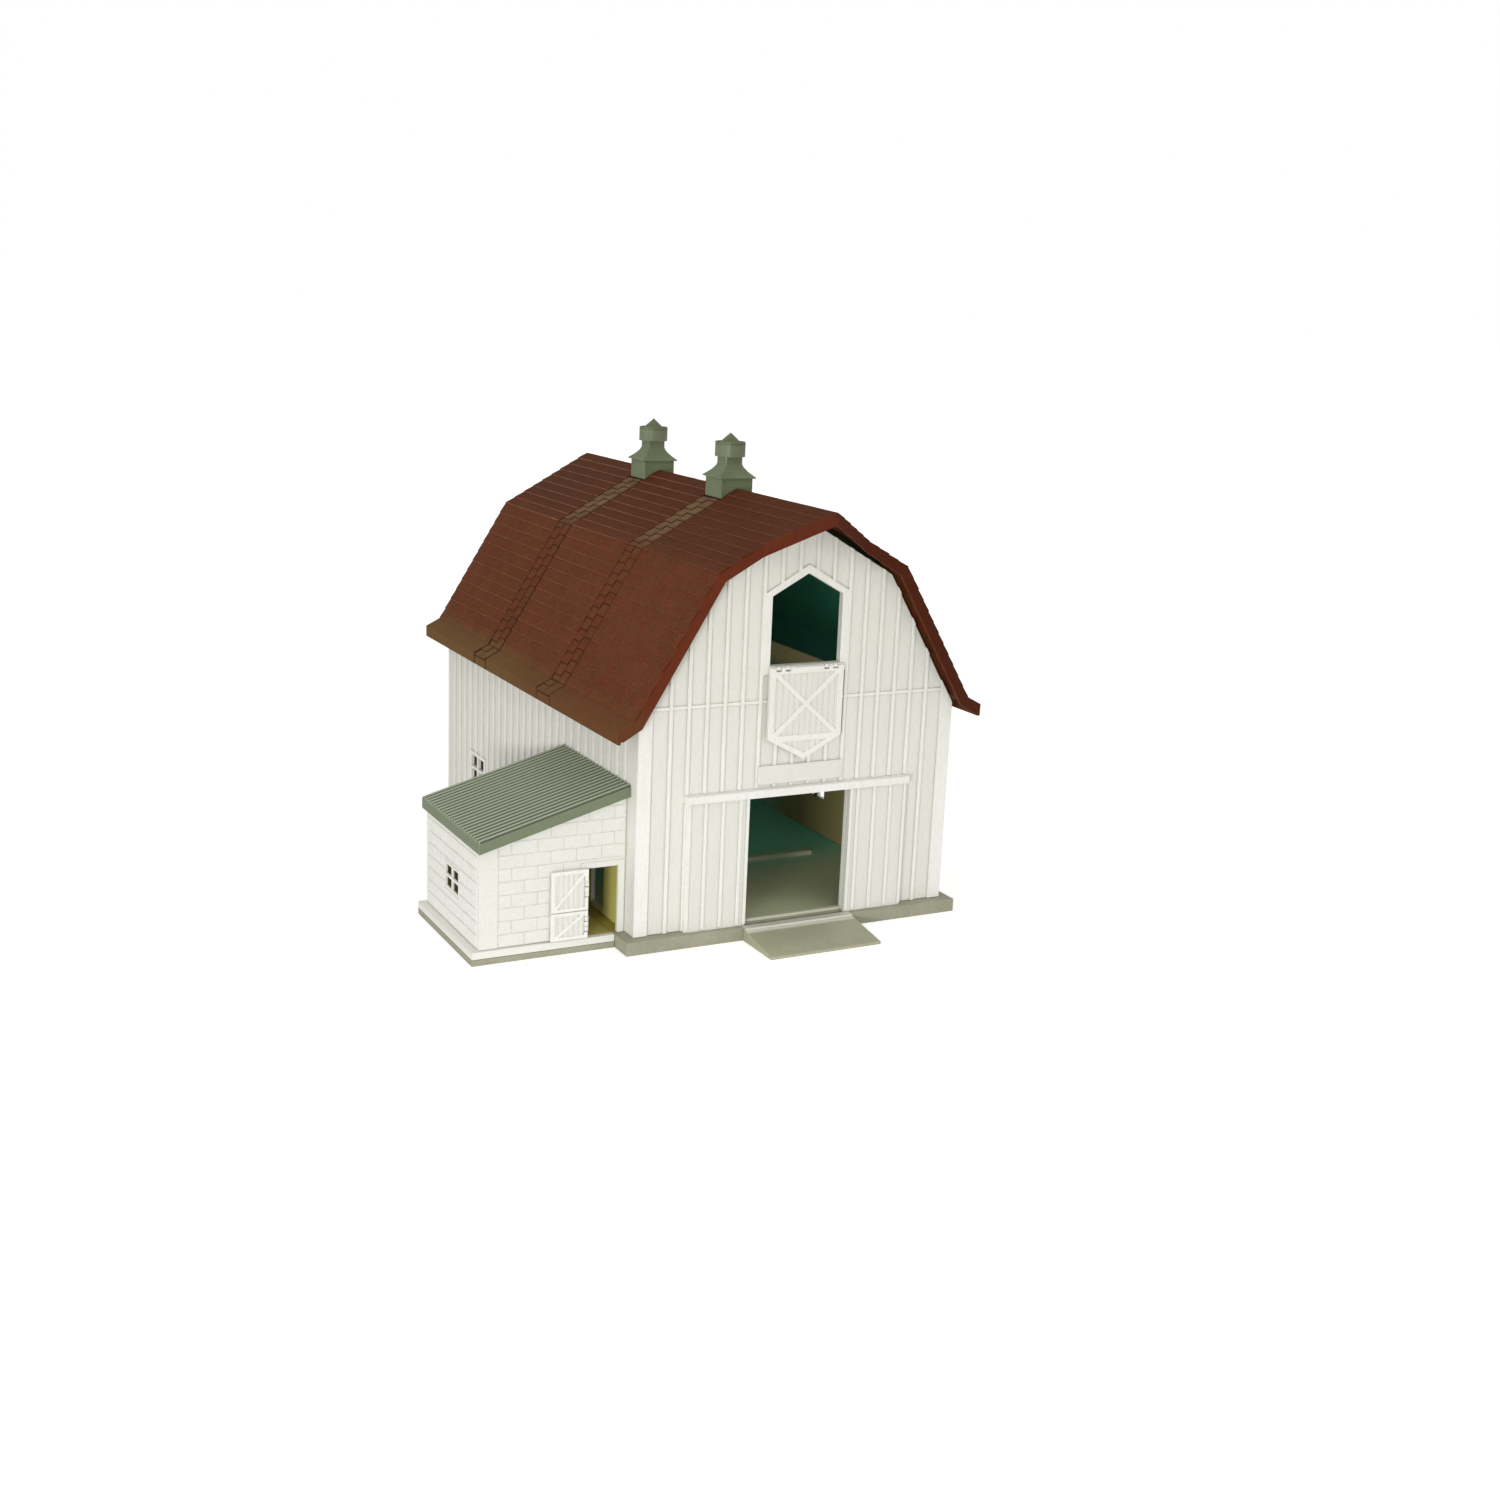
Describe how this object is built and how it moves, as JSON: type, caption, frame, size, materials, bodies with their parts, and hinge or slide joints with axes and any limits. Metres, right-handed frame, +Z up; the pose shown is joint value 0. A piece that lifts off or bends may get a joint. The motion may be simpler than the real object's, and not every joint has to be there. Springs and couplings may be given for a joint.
{
  "type": "toy barn",
  "caption": "White toy dairy barn with a brown gambrel roof, sliding front doors, drop-down hay door and a small block milk house with a two-leaf door.",
  "frame": {"origin": "middle of the underside of the barn's base plate", "axes": "+X to the right along the front, +Y from the front gable to the rear gable, +Z up"},
  "size_m": [0.262, 0.3085, 0.2354],
  "materials": {
    "wall_plastic": "satin moulded",
    "door_plastic": "satin moulded",
    "roof_plastic": "satin shingle texture",
    "base_plastic": "satin moulded",
    "ramp_plastic": "satin moulded",
    "green_plastic": "satin moulded",
    "pin_steel": "drawn wire"
  },
  "bodies": {
    "barn": {"base_plate": "base_plastic", "entry_ramp": "ramp_plastic", "milk_house_base": "base_plastic", "front_wall": "wall_plastic", "rear_wall": "wall_plastic", "left_side_wall": "wall_plastic", "right_side_wall": "wall_plastic", "roof_front_section": "roof_plastic", "roof_middle_section": "roof_plastic", "roof_rear_section": "roof_plastic", "roof_cover_strip_front": "roof_plastic", "roof_cover_strip_rear": "roof_plastic", "front_cupola_body": "green_plastic", "front_cupola_cap": "green_plastic", "rear_cupola_body": "green_plastic", "rear_cupola_cap": "green_plastic", "door_track": "door_plastic", "hay_door_pin_left": "pin_steel", "hay_door_pin_right": "pin_steel", "milk_house_front_wall": "wall_plastic", "milk_house_end_wall": "wall_plastic", "milk_house_back_wall": "wall_plastic", "milk_house_roof": "green_plastic", "milk_house_door_pin_upper": "pin_steel", "milk_house_door_pin_lower": "pin_steel"},
    "main_door_left": {"main_door_left": "door_plastic"},
    "main_door_right": {"main_door_right": "door_plastic"},
    "hay_door": {"hay_door": "door_plastic"},
    "milk_house_door_upper": {"milk_house_door_upper": "door_plastic"},
    "milk_house_door_lower": {"milk_house_door_lower": "door_plastic"}
  },
  "joints": [
    {"name": "main_door_left_slide", "type": "slide", "parent": "barn", "child": "main_door_left", "axis": [1, 0, 0], "range_m": [0, 0.0277]},
    {"name": "main_door_right_slide", "type": "slide", "parent": "barn", "child": "main_door_right", "axis": [-1, 0, 0], "range_m": [0, 0.0277]},
    {"name": "hay_door_hinge", "type": "hinge", "parent": "barn", "child": "hay_door", "pos_m": [0, -0.13595, 0.13255], "axis": [-1, 0, 0], "range_deg": [0, 180]},
    {"name": "milk_house_door_upper_hinge", "type": "hinge", "parent": "barn", "child": "milk_house_door_upper", "pos_m": [-0.10653, -0.12585, 0.031], "axis": [0, 0, 1], "range_deg": [0, 180]},
    {"name": "milk_house_door_lower_hinge", "type": "hinge", "parent": "barn", "child": "milk_house_door_lower", "pos_m": [-0.10653, -0.12585, 0.01395], "axis": [0, 0, 1], "range_deg": [0, 180]}
  ]
}
